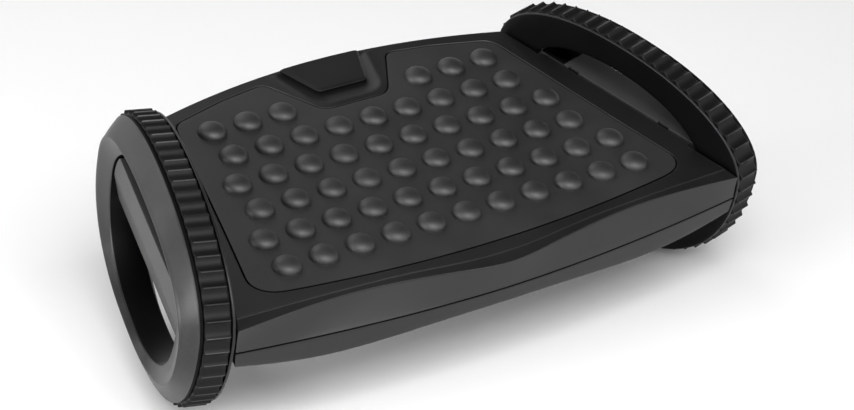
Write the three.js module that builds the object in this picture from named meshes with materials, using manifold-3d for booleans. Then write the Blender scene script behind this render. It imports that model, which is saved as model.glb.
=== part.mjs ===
import * as THREE from 'three';
import { mergeVertices } from 'three/addons/utils/BufferGeometryUtils.js';
import Module from 'manifold-3d';

const wasm = await Module();
wasm.setup();

// ---------------------------------------------------------------- dimensions
// All lengths are in millimetres. The deck frame has x to the right, y to the
// back and z normal to the deck, with z = 0 on the deck's surface.
const U = 30; // pitch of the massage domes along a row
const ROW = 31.5; // pitch of the rows
const TILT = 12.6; // degrees, the deck's tilt in the rest position, back edge up
const TOE = 13.95; // degrees, how far each side wheel turns in towards the back
const CAMBER = 1.6; // degrees, each wheel's outward lean
const HALF_WIDTH = 6.1667 * U; // from the middle to a wheel's inner face, at y = 0
const END_GAP = 2.2; // between the deck's end and the wheel's inner face

const PART_Z = -21; // parting line between the two shells
const FLOOR_Z = -37.5; // underside of the lower shell
const WALL = 3;
const FRONT_WALL = 4.4; // the front wall, the heaviest of the shells' walls
const DECK_T = 6.4; // deck thickness outside the mat
const MAT_T = 3.2; // mat thickness, let into the deck
const MAT_GAP = 0.9; // groove round the mat
const DOME_R = 10.6;
const DOME_H = 6.2;

const BLOCK_W = 29.8; // how far an end block reaches into its wheel
const BLOCK_IN = 3.4; // where it starts
const BLOCK_TOP = -0.6;
const BLOCK_SLOPE = [-21.6, 4.8]; // where the face's lower slope starts, and how far in it ends
const BLOCK_BOTTOM = -43.2;
const TENON_IN = 30; // how far a tenon reaches into the deck
const TENON_U = 52; // centre of each tenon along the wheel plane
const TENON_HALF = 15;
const TENON_Z = [-28, -14];

const TYRE_W = [1.5, 21.3];
const TYRE_T = 2.7; // tyre thickness under a groove
const TEETH = 58;
const PHASE = 0.585; // where the first groove stands, in pitches
const TIP = 1.7; // rib height over the rim
const VALLEY = -0.3;
const HOOP_W = 21.6;
const RIDGE_W = 1.22 * U; // height of the outer trim's crest
const LIP_DROP = 0.18 * U; // from the crest to the hand opening's edge
const N = 52; // sides of a wheel outline

// ---------------------------------------------------------------- helpers
const rad = (d) => (d * Math.PI) / 180;
const lerp = (a, b, t) => a + (b - a) * t;

function table(rows, x) {
  const ax = Math.abs(x);
  if (ax <= rows[0][0]) return rows[0][1];
  for (let i = 1; i < rows.length; i++) {
    if (ax <= rows[i][0]) {
      const [x0, y0] = rows[i - 1];
      const [x1, y1] = rows[i];
      const t = (ax - x0) / (x1 - x0);
      return y0 + (y1 - y0) * t * t * (3 - 2 * t);
    }
  }
  return rows[rows.length - 1][1];
}

function prism(points, z0, z1, holes = []) {
  const shape = new THREE.Shape(points.map((p) => new THREE.Vector2(p[0], p[1])));
  for (const h of holes) shape.holes.push(new THREE.Path(h.map((p) => new THREE.Vector2(p[0], p[1]))));
  const g = new THREE.ExtrudeGeometry(shape, { depth: z1 - z0, bevelEnabled: false, curveSegments: 12 });
  g.translate(0, 0, z0);
  return g;
}

function clean(g) {
  const c = g.clone();
  for (const k of Object.keys(c.attributes)) if (k !== 'position') c.deleteAttribute(k);
  return mergeVertices(c, 1e-4);
}

function solid(g) {
  const c = clean(g);
  const m = new wasm.Manifold(new wasm.Mesh({
    numProp: 3,
    vertProperties: new Float32Array(c.attributes.position.array),
    triVerts: new Uint32Array(c.index.array),
  }));
  return m;
}

function geometry(m) {
  const mesh = m.getMesh();
  const g = new THREE.BufferGeometry();
  const n = mesh.numProp;
  const pos = new Float32Array((mesh.vertProperties.length / n) * 3);
  for (let i = 0; i < pos.length / 3; i++) for (let k = 0; k < 3; k++) pos[3 * i + k] = mesh.vertProperties[n * i + k];
  g.setAttribute('position', new THREE.BufferAttribute(pos, 3));
  g.setIndex(new THREE.BufferAttribute(new Uint32Array(mesh.triVerts), 1));
  g.computeVertexNormals();
  return g;
}

// A closed band: rings of equal count joined one to the next, the last to the first.
function band(rings) {
  const n = rings[0].length;
  const pos = [];
  for (const r of rings) for (const p of r) pos.push(...p);
  const idx = [];
  for (let k = 0; k < rings.length; k++) {
    const a = k * n;
    const b = ((k + 1) % rings.length) * n;
    for (let i = 0; i < n; i++) {
      const j = (i + 1) % n;
      idx.push(a + i, a + j, b + j, a + i, b + j, b + i);
    }
  }
  const g = new THREE.BufferGeometry();
  g.setAttribute('position', new THREE.Float32BufferAttribute(pos, 3));
  g.setIndex(idx);
  g.computeVertexNormals();
  return g;
}

// A stack of convex rings, lowest first, closed by a fan at each end.
function stack(rings) {
  const n = rings[0].length;
  const pos = [];
  for (const r of rings) for (const p of r) pos.push(...p);
  const idx = [];
  for (let k = 0; k + 1 < rings.length; k++) {
    for (let i = 0; i < n; i++) {
      const j = (i + 1) % n;
      const a = k * n;
      const b = a + n;
      idx.push(a + i, a + j, b + j, a + i, b + j, b + i);
    }
  }
  const fan = (ring, up) => {
    const c = ring.reduce((s, p) => [s[0] + p[0] / n, s[1] + p[1] / n, s[2] + p[2] / n], [0, 0, 0]);
    const base = rings.indexOf(ring) * n;
    const m = pos.length / 3;
    pos.push(...c);
    for (let i = 0; i < n; i++) {
      const j = (i + 1) % n;
      if (up) idx.push(m, base + i, base + j);
      else idx.push(m, base + j, base + i);
    }
  };
  fan(rings[0], false);
  fan(rings[rings.length - 1], true);
  const g = new THREE.BufferGeometry();
  g.setAttribute('position', new THREE.Float32BufferAttribute(pos, 3));
  g.setIndex(idx);
  g.computeVertexNormals();
  return g;
}

// Offsets a counter-clockwise outline outwards by d, each corner mitred.
function offset(points, d) {
  const n = points.length;
  const out = [];
  for (let i = 0; i < n; i++) {
    const a = points[(i + n - 1) % n];
    const b = points[i];
    const c = points[(i + 1) % n];
    const e1 = [b[0] - a[0], b[1] - a[1]];
    const e2 = [c[0] - b[0], c[1] - b[1]];
    const l1 = Math.hypot(...e1);
    const l2 = Math.hypot(...e2);
    const n1 = [e1[1] / l1, -e1[0] / l1];
    const n2 = [e2[1] / l2, -e2[0] / l2];
    const s = 1 + n1[0] * n2[0] + n1[1] * n2[1];
    out.push([b[0] + (d * (n1[0] + n2[0])) / s, b[1] + (d * (n1[1] + n2[1])) / s]);
  }
  return out;
}

function rounded(points, r, seg = 4) {
  const n = points.length;
  const out = [];
  for (let i = 0; i < n; i++) {
    const [a, b, c] = [points[(i + n - 1) % n], points[i], points[(i + 1) % n]];
    const rr = Array.isArray(r) ? r[i] : r;
    const va = [a[0] - b[0], a[1] - b[1]];
    const vc = [c[0] - b[0], c[1] - b[1]];
    const la = Math.hypot(...va);
    const lc = Math.hypot(...vc);
    const ang = Math.acos((va[0] * vc[0] + va[1] * vc[1]) / (la * lc));
    const t = Math.min(rr / Math.tan(ang / 2), la * 0.48, lc * 0.48);
    const p = [b[0] + (va[0] / la) * t, b[1] + (va[1] / la) * t];
    const q = [b[0] + (vc[0] / lc) * t, b[1] + (vc[1] / lc) * t];
    for (let k = 0; k <= seg; k++) {
      const s = k / seg;
      const w0 = (1 - s) * (1 - s);
      const w1 = 2 * s * (1 - s);
      const w2 = s * s;
      out.push([w0 * p[0] + w1 * b[0] + w2 * q[0], w0 * p[1] + w1 * b[1] + w2 * q[1]]);
    }
  }
  return out;
}

const cyl = (r, z0, z1, x, y, seg = 12) => {
  const g = new THREE.CylinderGeometry(r, r, z1 - z0, seg);
  g.rotateX(Math.PI / 2);
  g.translate(x, y, (z0 + z1) / 2);
  return g;
};
const box = (x0, x1, y0, y1, z0, z1) => {
  const g = new THREE.BoxGeometry(x1 - x0, y1 - y0, z1 - z0);
  g.translate((x0 + x1) / 2, (y0 + y1) / 2, (z0 + z1) / 2);
  return g;
};

// ---------------------------------------------------------------- deck outline
const toeTan = Math.tan(rad(TOE));
const endX = (y, w = -END_GAP) => HALF_WIDTH + w / Math.cos(rad(TOE)) - toeTan * y;
const backY = (x) => 129 - (0.028 / U) * x * x;
const partY = (x) => -4.69 * U + 0.59 * U * Math.pow(Math.abs(x) / (7.15 * U), 1.8);
const CREASE = [[0, -4.26], [1.3, -4.23], [2.2, -4.14], [3.2, -4.04], [4.7, -3.92], [6.2, -3.83], [7.2, -3.74]];
const WAVE = [[0, -4.56], [1.37, -4.42], [2.7, -4.18], [4.0, -4.0], [5.2, -3.94], [6.4, -3.99], [7.2, -4.04]];
const WAVE_DROP = [[0, 2.4], [2.7, 1.6], [5.2, 1.0], [6.4, 2.4], [7.2, 4.5]];
const EDGE_Z = [[0, -1.2], [2, -1.25], [3.5, -1.35], [4.6, -1.39], [5.6, -1.35], [6.6, -1.24], [7.2, -1.15]];
const scaled = (rows) => rows.map(([x, y]) => [x * U, y * U]);
const creaseY = (x) => table(scaled(CREASE), x);
const waveY = (x) => table(scaled(WAVE), x);
const waveZ = (x) => -table(WAVE_DROP.map(([x0, d]) => [x0 * U, d]), x);
const edgeZ = (x) => table(scaled(EDGE_Z), x);

const FRONT_SEG = 20;
const BACK_SEG = 12;
function cornerX(yOf, w) {
  let x = 200;
  for (let i = 0; i < 30; i++) x = endX(yOf(x), w);
  return x;
}
// Counter-clockwise from the front left corner. zOf gives the height at each x of the front run.
function deckRing(frontOf, z, { inset = 0, w = -END_GAP, frontZ = null, backZ = null } = {}) {
  const xf = cornerX((x) => frontOf(x) + inset, w - inset);
  const xb = cornerX((x) => backY(x) - inset, w - inset);
  const ring = [];
  for (let i = 0; i <= FRONT_SEG; i++) {
    const x = lerp(-xf, xf, i / FRONT_SEG);
    ring.push([x, frontOf(x) + inset, frontZ ? frontZ(x) : z]);
  }
  for (let i = 0; i <= BACK_SEG; i++) {
    const x = lerp(xb, -xb, i / BACK_SEG);
    ring.push([x, backY(x) - inset, backZ ? backZ(x) : z]);
  }
  return ring;
}

// ---------------------------------------------------------------- wheel outlines
// In a wheel's own frame u runs to the back, v up from the deck's surface and w outwards.
function superellipse(uc, vc, a, bt, bb, phi, nt, nb, egg = 0, count = N) {
  const pts = [];
  for (let i = 0; i < count; i++) {
    const t = (2 * Math.PI * i) / count;
    const c = Math.cos(t);
    const s = Math.sin(t);
    const n = s > 0 ? nt : nb;
    const r = Math.pow(Math.pow(Math.abs(c), n) + Math.pow(Math.abs(s), n), -1 / n);
    const x = a * r * c;
    let y = (s > 0 ? bt : bb) * r * s;
    y *= 1 + (egg * x) / a;
    pts.push([uc + x * Math.cos(phi) - y * Math.sin(phi), vc + x * Math.sin(phi) + y * Math.cos(phi)]);
  }
  return pts;
}
const sc = (a) => a.map((v) => v * U);
const RIM = (count = N) => superellipse(...sc([-0.218, -0.427, 4.044, 1.962, 3.556]), 0.017, 2.157, 2.223, 0.01, count);
const RIDGE = superellipse(...sc([-0.196, -0.758, 3.713, 1.549, 2.276]), 0.017, 2.466, 2.4);
const opening = (count) => superellipse(...sc([-0.162, -0.805, 2.98, 1.6, 2.196]), 0.017, 2.126, 2.295, 0, count);
const OPENING = opening(N);
const crestW = (v) => RIDGE_W - 0.019 * (v + 0.74 * U);
// The hoop's inner face is flat above and dished towards the opening's lower edge.
const dish = (v) => {
  const t = Math.min(1, Math.max(0, (-v - 18) / 54));
  return 8.6 * t * t * (3 - 2 * t);
};
const at = (pts, w) => pts.map((p) => [p[0], p[1], typeof w === 'function' ? w(p[1]) : w]);
const mix = (p, q, t) => p.map((a, i) => [lerp(a[0], q[i][0], t), lerp(a[1], q[i][1], t)]);

function resample(points, count, start = 0) {
  const n = points.length;
  const acc = [0];
  for (let i = 0; i < n; i++) {
    const a = points[i];
    const b = points[(i + 1) % n];
    acc.push(acc[i] + Math.hypot(b[0] - a[0], b[1] - a[1]));
  }
  const total = acc[n];
  const out = [];
  for (let k = 0; k < count; k++) {
    let s = (((k + start) / count) % 1) * total;
    if (s < 0) s += total;
    let i = 0;
    while (acc[i + 1] < s) i++;
    const t = (s - acc[i]) / (acc[i + 1] - acc[i]);
    const a = points[i];
    const b = points[(i + 1) % n];
    out.push([lerp(a[0], b[0], t), lerp(a[1], b[1], t)]);
  }
  return out;
}

// ---------------------------------------------------------------- pieces of the deck
// Mat outline: a trapezoid with a notch round the badge.
const matCorners = [
  [-6.16, -3.29], [-4.5, -3.49], [-3, -3.64], [-1.4, -3.77], [0, -3.81], [1.4, -3.77], [3, -3.64], [4.5, -3.49], [6.16, -3.29], [4.66, 3.28], [3.1, 3.7], [1.86, 3.9],
  [1.05, 2.33], [-1.05, 2.33], [-1.86, 3.9], [-3.1, 3.7], [-4.66, 3.28],
].map(([x, y]) => [x * U, y * U]);
const matOutline = rounded(matCorners, [20, 30, 30, 30, 30, 30, 30, 30, 20, 14, 60, 10, 16, 16, 10, 60, 14], 3);

const TEN = [-1, 1].map((k) => k * TENON_U - 4);
// Position of a point (u, w) of a wheel's plane in the deck's plan, on side s.
function plan(s, u, w) {
  const a = rad(TOE);
  return [s * (HALF_WIDTH - u * Math.sin(a) + w * Math.cos(a)), u * Math.cos(a) + w * Math.sin(a)];
}

const SHELL_SCREWS = [[-168, -88], [-56, -108], [56, -108], [168, -88], [-128, 82], [-48, 62], [48, 62], [128, 82]];
const BLOCK_SCREWS = [];
for (const s of [-1, 1]) for (const u of TEN) BLOCK_SCREWS.push([s, ...plan(s, u, -19)]);

// The matrix from a wheel's frame to the deck's, side s.
function wheelMatrix(s) {
  const a = rad(TOE);
  const c = rad(CAMBER);
  const d = new THREE.Vector3(-s * Math.sin(a), Math.cos(a), 0);
  const out = new THREE.Vector3(s * Math.cos(a) * Math.cos(c), Math.sin(a) * Math.cos(c), Math.sin(c));
  const up = new THREE.Vector3(-s * Math.cos(a) * Math.sin(c), -Math.sin(a) * Math.sin(c), Math.cos(c));
  const m = new THREE.Matrix4().makeBasis(d, up, out.multiplyScalar(s));
  m.setPosition(s * HALF_WIDTH, 0, 0);
  return m;
}

// The room for a tenon: a bar along the wheel's axis, open at the deck's end.
function tenonSolid(s, u, grow) {
  const g = box(u - TENON_HALF - grow, u + TENON_HALF + grow, TENON_Z[0] - grow, TENON_Z[1] + grow, -TENON_IN - grow, 3);
  const m = s < 0 ? mirrored(g) : g;
  m.applyMatrix4(wheelMatrix(s));
  return solid(m);
}

const BADGE = [[-1.2, 4.26], [-0.7, 2.9], [0.7, 2.9], [1.2, 4.26]].map(([x, y]) => [x * U, y * U]);
const badgeFloor = -2.4;
const pocket = [[-1.36, 4.6], [-0.76, 2.83], [0.76, 2.83], [1.36, 4.6]].map(([x, y]) => [x * U, y * U]);

// Raised band round the badge plate.
const bandOuter = [[-1.72, 4.5], [-1.02, 2.52], [1.02, 2.52], [1.72, 4.5]].map(([x, y]) => [x * U, y * U]).reverse();
const bandInner = [[-1.44, 4.6], [-0.8, 2.78], [0.8, 2.78], [1.44, 4.6]].map(([x, y]) => [x * U, y * U]).reverse();
const deckUnder = (y) => -DECK_T + 0.0075 * y;

function topShell() {
  let m = solid(stack([
    deckRing(partY, PART_Z),
    deckRing(partY, PART_Z + 3),
    deckRing(waveY, 0, { frontZ: waveZ, backZ: () => -1.2 }),
    deckRing(creaseY, 0, { inset: 0, w: -END_GAP - 1 }),
  ]));
  const hollow = solid(stack([
    deckRing((x) => partY(x) + FRONT_WALL, PART_Z - 1, { w: -END_GAP - WALL }).map(backIn),
    deckRing((x) => waveY(x) + FRONT_WALL + 1.5, 0, { w: -END_GAP - WALL }).map(backIn).map((p) => [p[0], p[1], deckUnder(p[1])]),
  ]));
  m = m.subtract(hollow);
  const whole = solid(prism(deckRing(creaseY, 0, { w: -END_GAP - 1 }).map((p) => [p[0], p[1] - (p[1] > 0 ? 1.2 : 0)]), -2, 5));
  let ridge = solid(prism(bandOuter, -1, 1.1)).subtract(solid(prism(bandInner, -3, 6)));
  m = m.add(ridge.intersect(whole));
  // The tongues that reach through the wheels' openings up to the end blocks.
  for (const s of [-1, 1]) {
    const g = box(-80, 70, -9.5, -0.15, -END_GAP - 4, 1.1);
    const t = s < 0 ? mirrored(g) : g;
    t.applyMatrix4(wheelMatrix(s));
    m = m.add(solid(t));
  }
  m = m.subtract(solid(prism(offset(matOutline, MAT_GAP), -MAT_T, 2)));
  m = m.subtract(solid(prism(pocket.slice().reverse(), badgeFloor, 5)));
  for (const [x, y] of SHELL_SCREWS) m = m.add(solid(cyl(5, PART_Z + 0.6, -4.6, x, y)));
  for (const [x, y] of SHELL_SCREWS) m = m.subtract(solid(cyl(2.1, PART_Z - 1, -9, x, y, 10)));
  for (const s of [-1, 1]) for (const u of TEN) m = m.subtract(tenonSolid(s, u, 0.4));
  return geometry(m);
}
function backIn(p) {
  return p[1] > 0 && Math.abs(p[1] - backY(p[0])) < 0.01 ? [p[0], p[1] - WALL, p[2]] : p;
}

const floorTop = (y) => -33.6 - 0.0139 * y;

function bottomShell() {
  const z0 = PART_Z - 0.4;
  let m = solid(stack([
    deckRing((x) => partY(x) + 22, FLOOR_Z, { w: -END_GAP - 8 }).map((p) => (p[1] > 0 ? [p[0] * 0.985, p[1] - 18, p[2]] : p)),
    deckRing((x) => partY(x) + 0.6, 0, { frontZ: edgeZ, backZ: (x) => edgeZ(x) + 4, w: -END_GAP - 0.6 }),
    deckRing(partY, z0),
  ]));
  m = m.subtract(solid(stack([
    deckRing((x) => partY(x) + FRONT_WALL + 9, 0, { w: -END_GAP - WALL - 4 }).map(backIn)
      .map((p) => [p[0], p[1] > 0 ? p[1] - 8 : p[1], 0]).map((p) => [p[0], p[1], floorTop(p[1])]),
    deckRing((x) => partY(x) + FRONT_WALL, z0 + 1, { w: -END_GAP - WALL }).map(backIn),
  ])));
  // Stiffening ribs, moulded with the shell, closer and thicker under the toes' end of the deck.
  const top = -DECK_T - 1.2;
  const rib = (x0, x1, y0, y1, drop = 0) => { m = m.add(solid(box(x0, x1, y0, y1, -36, top - drop))); };
  for (const y of [-98, -70, -42]) rib(5 - endX(y), endX(y) - 5, y - 1.3, y + 1.3);
  rib(5 - endX(50), endX(50) - 5, 48.7, 50.3);
  for (const x of [-150, -112, -75, -37, 0, 37, 75, 112, 150]) rib(x - 1.2, x + 1.2, -104, -30, 0.7);
  for (const x of [-84, 0, 84]) rib(x - 0.8, x + 0.8, -42.5, 98, 1.3);
  for (const [x, y] of SHELL_SCREWS) m = m.add(solid(cyl(6, -36, PART_Z + 0.2, x, y)));
  for (const [, x, y] of BLOCK_SCREWS) m = m.add(solid(cyl(6, -36, TENON_Z[0] - 0.4, x, y)));
  for (const s of [-1, 1]) for (const u of TEN) m = m.subtract(tenonSolid(s, u, 0.4));
  for (const [x, y] of [...SHELL_SCREWS, ...BLOCK_SCREWS.map((b) => b.slice(1))]) {
    m = m.subtract(solid(cyl(2.1, -60, PART_Z + 2, x, y, 10)));
    m = m.subtract(solid(cyl(4.4, -60, -33.6, x, y)));
  }
  return geometry(m);
}

function massageMat() {
  let m = solid(prism(matOutline, -MAT_T + 0.3, 0));
  const rows = [
    { r: 0, xs: [-4, -3, -2, 2, 3, 4] },
    { r: 1, xs: [-4, -3, -2, -1, 0, 1, 2, 3, 4] },
    { r: 2, xs: [-4.5, -3.5, -2.5, -1.5, -0.5, 0.5, 1.5, 2.5, 3.5, 4.5] },
    { r: 3, xs: [-4.5, -3.5, -2.5, -1.5, -0.5, 0.5, 1.5, 2.5, 3.5, 4.5] },
    { r: 4, xs: [-5, -4, -3, -2, -1, 0, 1, 2, 3, 4, 5] },
    { r: 5, xs: [-5, -4, -3, -2, -1, 0, 1, 2, 3, 4, 5] },
  ];
  const parts = [m];
  for (const { r, xs } of rows) {
    for (const k of xs) {
      const [x, y] = [k * U, (2.5 - r) * ROW];
      const profile = [[0, -0.5], [DOME_R, -0.5], [DOME_R * 0.72, DOME_H * 0.72], [0, DOME_H]].map((p) => new THREE.Vector2(...p));
      const g = new THREE.LatheGeometry(profile, 8);
      g.rotateX(Math.PI / 2);
      g.translate(x, y, 0);
      parts.push(solid(g));
    }
  }
  m = wasm.Manifold.union(parts);
  return geometry(m);
}

function badgePlate() {
  const grown = (d, z) => offset(BADGE, d).map((p) => [p[0], p[1], z]);
  return stack([grown(0, badgeFloor + 0.3), grown(0, 0.6), grown(-2.2, 2.2)]);
}

function screw(length, headR = 3.8, shankR = 1.7) {
  // Head down: the head's flat face is at z = 0 and the shank rises.
  const profile = [[0, 0], [headR * 0.8, 0], [headR, 0.8], [headR, 2.2], [shankR, 2.2], [shankR, length - 1.5], [0, length]]
    .map((p) => new THREE.Vector2(...p));
  const g = new THREE.LatheGeometry(profile, 10);
  g.rotateX(Math.PI / 2);
  return g;
}

// ---------------------------------------------------------------- pieces of a wheel
function hoop() {
  const rim = RIM();
  return band([
    at(offset(rim, -0.3), 0), at(offset(rim, -0.3), 1.2), at(offset(rim, -3), 1.2), at(offset(rim, -3), HOOP_W),
    at(offset(rim, -6), HOOP_W), at(offset(rim, -6), 3.2), at(offset(OPENING, 3), (v) => 3.2 + dish(v)), at(offset(OPENING, 3), HOOP_W),
    at(OPENING, HOOP_W), at(OPENING, dish),
  ]);
}

function tyre() {
  const rim = RIM(240);
  const valleys = resample(offset(rim, VALLEY), TEETH, PHASE);
  const tips = resample(offset(rim, TIP), TEETH, PHASE + 0.45);
  const outer = [];
  for (let i = 0; i < TEETH; i++) outer.push(valleys[i], tips[i]);
  const inner = offset(RIM(), -TYRE_T);
  return prism(outer, TYRE_W[0], TYRE_W[1], [inner.slice().reverse()]);
}

function trimRing() {
  const rim = RIM();
  const base = HOOP_W + 0.3;
  const lip = (v) => crestW(v) - LIP_DROP;
  const under = (d) => (v) => crestW(v) - d;
  return band([
    at(offset(rim, -0.1), base), at(offset(rim, -0.1), base + 1.4), at(RIDGE, crestW), at(mix(RIDGE, OPENING, 0.16), under(0.4)),
    at(OPENING, lip), at(OPENING, base), at(offset(OPENING, 2.6), base), at(offset(OPENING, 2.6), under(LIP_DROP + 2.4)),
    at(mix(RIDGE, OPENING, 0.2), under(3)), at(offset(rim, -4.2), base + 1.8), at(offset(rim, -4.2), base),
  ]);
}

const blockOutline = (() => {
  // The hand opening's outline, cut by two horizontal lines, 1.6 mm inside the hoop.
  const o = offset(opening(240), -1.6);
  const right = o.filter((p) => p[0] > 0 && p[1] > BLOCK_BOTTOM && p[1] < BLOCK_TOP).sort((a, b) => a[1] - b[1]);
  const left = o.filter((p) => p[0] < 0 && p[1] > BLOCK_BOTTOM && p[1] < BLOCK_TOP).sort((a, b) => b[1] - a[1]);
  const thin = (r) => r.filter((_, i) => i % 2 === 0 || i === r.length - 1);
  const R = thin(right);
  const L = thin(left);
  const ext = (r, v, flip) => {
    const p = flip ? r[r.length - 1] : r[0];
    return [p[0], v];
  };
  const pts = [[R[0][0] - 2.5, BLOCK_BOTTOM], ...R, [ext(R, BLOCK_TOP, true)[0] - 1.5, BLOCK_TOP],
    [ext(L, BLOCK_TOP, false)[0] + 1.5, BLOCK_TOP], ...L, [L[L.length - 1][0] + 2.5, BLOCK_BOTTOM]];
  return pts;
})();
const CATCH_U = [-50, 40.5]; // the two catches along each block
const CATCH_HALF = 5.2;

function endBlock() {
  // In the wheel's frame, with w mirrored on the left by the caller.
  let m = solid(prism(blockOutline, BLOCK_IN, BLOCK_W));
  // The lower slope of its outer face.
  const [v0, cut] = BLOCK_SLOPE;
  const wedge = prism([[BLOCK_W, v0], [BLOCK_W - cut * 1.2, BLOCK_BOTTOM - (v0 - BLOCK_BOTTOM) * 0.2], [BLOCK_W + 9, BLOCK_BOTTOM - 9], [BLOCK_W + 9, v0]].reverse(), -120, 120);
  m = m.subtract(solid(turned(wedge)));
  // The pocket, open below, that makes it a thin-walled moulding with a closed top.
  m = m.subtract(solid(box(-76, 66, BLOCK_BOTTOM - 2, BLOCK_TOP - 3, BLOCK_IN + 3, BLOCK_W - 7.6)));
  m = m.subtract(solid(box(-76, 66, -20.5, BLOCK_TOP - 3, BLOCK_IN + 3, BLOCK_W - 2.8)));
  for (const u of TEN) {
    m = m.add(solid(box(u - TENON_HALF, u + TENON_HALF, TENON_Z[0], TENON_Z[1], -TENON_IN, BLOCK_IN + 1)));
    const hole = new THREE.CylinderGeometry(2.1, 2.1, 12, 10);
    hole.translate(u, TENON_Z[0] + 4, -19 + TENON_Z[0] * Math.sin(rad(CAMBER)));
    m = m.subtract(solid(hole));
  }
  for (const u of CATCH_U) m = m.subtract(solid(box(u - CATCH_HALF, u + CATCH_HALF, BLOCK_TOP - 7, 5, 0, BLOCK_IN + 2.1)));
  return geometry(m);
}

function catchTongue(k) {
  // A short tongue in the block's notch, its top below the block's.
  const u = CATCH_U[k];
  const [a, b] = [BLOCK_IN - 1.4, BLOCK_IN + 1.8];
  const side = [[a, BLOCK_TOP - 6.7], [b, BLOCK_TOP - 6.7], [b, BLOCK_TOP - 2.4], [b - 0.9, BLOCK_TOP - 1.2], [a, BLOCK_TOP - 1.2]];
  return turned(prism(side, u - CATCH_HALF + 0.3, u + CATCH_HALF - 0.3));
}

function turned(g) {
  // Turn the prism, which stands along its own z, so that it lies along u.
  const p = g.attributes.position;
  for (let i = 0; i < p.count; i++) {
    const [w, v, along] = [p.getX(i), p.getY(i), p.getZ(i)];
    p.setXYZ(i, along, v, w);
  }
  return flip(g);
}

function flip(g) {
  const c = g.index ? g.toNonIndexed() : g.clone();
  const p = c.attributes.position;
  for (let i = 0; i < p.count; i += 3) {
    const a = [p.getX(i + 1), p.getY(i + 1), p.getZ(i + 1)];
    p.setXYZ(i + 1, p.getX(i + 2), p.getY(i + 2), p.getZ(i + 2));
    p.setXYZ(i + 2, ...a);
  }
  for (const k of Object.keys(c.attributes)) if (k !== 'position') c.deleteAttribute(k);
  c.computeVertexNormals();
  return c;
}
const mirrored = (g) => {
  const c = g.clone();
  c.scale(1, 1, -1);
  return flip(c);
};

// ---------------------------------------------------------------- materials and assembly
const paint = {
  shell: { color: 0x2b2a2c, roughness: 0.62, metalness: 0 },
  mat: { color: 0x303033, roughness: 0.85, metalness: 0 },
  badge: { color: 0x252427, roughness: 0.5, metalness: 0 },
  hoop: { color: 0x1d1d20, roughness: 0.5, metalness: 0 },
  trim: { color: 0x39393c, roughness: 0.3, metalness: 0 },
  tyre: { color: 0x202021, roughness: 0.9, metalness: 0 },
  block: { color: 0x3a3a3d, roughness: 0.45, metalness: 0 },
  steel: { color: 0x8f9296, roughness: 0.35, metalness: 1 },
};
const mesh = (name, g, kind) => {
  const m = new THREE.Mesh(g, new THREE.MeshStandardMaterial(paint[kind]));
  m.name = name;
  return m;
};

const part = new THREE.Group();
const deck = new THREE.Group();
deck.rotation.x = rad(TILT);
part.add(deck);
deck.add(mesh('top_shell', topShell(), 'shell'));
deck.add(mesh('bottom_shell', bottomShell(), 'shell'));
deck.add(mesh('massage_mat', massageMat(), 'mat'));
deck.add(mesh('badge_plate', badgePlate(), 'badge'));
SHELL_SCREWS.forEach(([x, y], i) => {
  const m = mesh(`shell_screw_${i + 1}`, screw(23), 'steel');
  m.position.set(x, y, -36.1);
  deck.add(m);
});
BLOCK_SCREWS.forEach(([s, x, y], i) => {
  const m = mesh(`${s < 0 ? 'left' : 'right'}_block_screw_${(i % 2) + 1}`, screw(16), 'steel');
  m.position.set(x, y, -36.1);
  deck.add(m);
});

for (const s of [-1, 1]) {
  const side = s < 0 ? 'left' : 'right';
  const put = (g) => (s < 0 ? mirrored(g) : g);
  const frame = new THREE.Group();
  frame.matrix.copy(wheelMatrix(s));
  frame.matrix.decompose(frame.position, frame.quaternion, frame.scale);
  // The end blocks and their catches belong to the deck; the hoop, tyre and trim are the wheel.
  frame.add(mesh(`${side}_end_block`, put(endBlock()), 'block'));
  frame.add(mesh(`${side}_front_catch`, put(catchTongue(0)), 'badge'));
  frame.add(mesh(`${side}_rear_catch`, put(catchTongue(1)), 'badge'));
  frame.add(mesh(`${side}_wheel_hoop`, put(hoop()), 'hoop'));
  frame.add(mesh(`${side}_tyre`, put(tyre()), 'tyre'));
  frame.add(mesh(`${side}_trim_ring`, put(trimRing()), 'trim'));
  deck.add(frame);
}

// The origin is the middle of the part's foot print, on the floor.
part.updateMatrixWorld(true);
const bounds = new THREE.Box3().setFromObject(part, true);
deck.position.y = -(bounds.min.y + bounds.max.y) / 2;
deck.position.z = -bounds.min.z;
part.updateMatrixWorld(true);

export default part;
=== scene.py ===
import math

import bmesh
import bpy
import numpy as np
from mathutils import Matrix, Vector


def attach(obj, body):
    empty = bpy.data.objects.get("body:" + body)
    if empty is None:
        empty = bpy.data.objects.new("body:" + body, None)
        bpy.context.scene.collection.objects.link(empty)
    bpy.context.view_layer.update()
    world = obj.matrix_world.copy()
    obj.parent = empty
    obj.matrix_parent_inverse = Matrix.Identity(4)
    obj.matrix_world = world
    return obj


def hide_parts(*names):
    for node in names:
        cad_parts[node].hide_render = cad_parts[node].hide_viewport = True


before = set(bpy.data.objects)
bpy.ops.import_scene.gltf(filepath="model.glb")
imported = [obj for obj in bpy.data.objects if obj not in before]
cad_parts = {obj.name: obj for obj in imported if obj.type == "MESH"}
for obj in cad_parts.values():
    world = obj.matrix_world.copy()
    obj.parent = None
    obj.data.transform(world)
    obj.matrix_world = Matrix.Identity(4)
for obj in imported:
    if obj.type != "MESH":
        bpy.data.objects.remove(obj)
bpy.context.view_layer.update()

# ---------------------------------------------------------------- the deck's frame
# Lengths are in millimetres in the deck's frame (x right, y back, z normal to the deck,
# z = 0 on the deck's surface) until to_row() turns them into metres in the row frame.
U = 30.0
ROW = 31.5
TILT = math.radians(12.6)
TOE = math.radians(13.95)
CAMBER = math.radians(1.6)
HALF_WIDTH = 6.1667 * U
END_GAP = 2.2
PART_Z = -21.0
FLOOR_Z = -37.5
MAT_T = 3.2
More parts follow.
